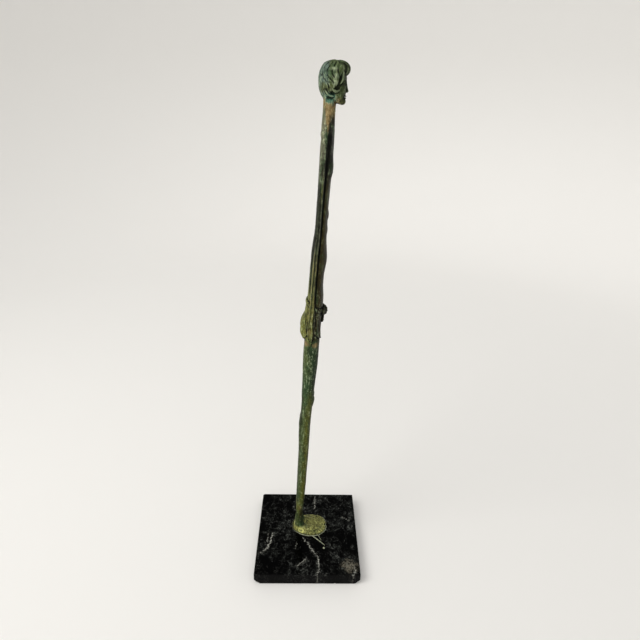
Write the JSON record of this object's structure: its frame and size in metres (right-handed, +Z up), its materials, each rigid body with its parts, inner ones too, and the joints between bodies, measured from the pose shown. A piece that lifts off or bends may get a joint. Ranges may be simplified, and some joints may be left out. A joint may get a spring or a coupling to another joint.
{
  "type": "etruscan votive bronze",
  "caption": "Very slender standing man in patinated bronze, arms at his sides, wearing a short belted loincloth, fixed on a square slab of black marble.",
  "frame": {"origin": "middle of the slab's underside", "axes": "+Z up; the figure faces -Y, with its right side toward -X"},
  "size_m": [0.077, 0.077, 0.3379],
  "materials": {
    "marble": "polished black marble with grey veins and speckles, worn and chipped at the edges",
    "bronze": "cast bronze with a mottled green, olive and brown patina",
    "adhesive": "cured translucent adhesive, yellowed"
  },
  "bodies": {
    "root": {"marble_base": "marble", "bronze_figure": "bronze", "adhesive_bead": "adhesive"}
  },
  "joints": []
}
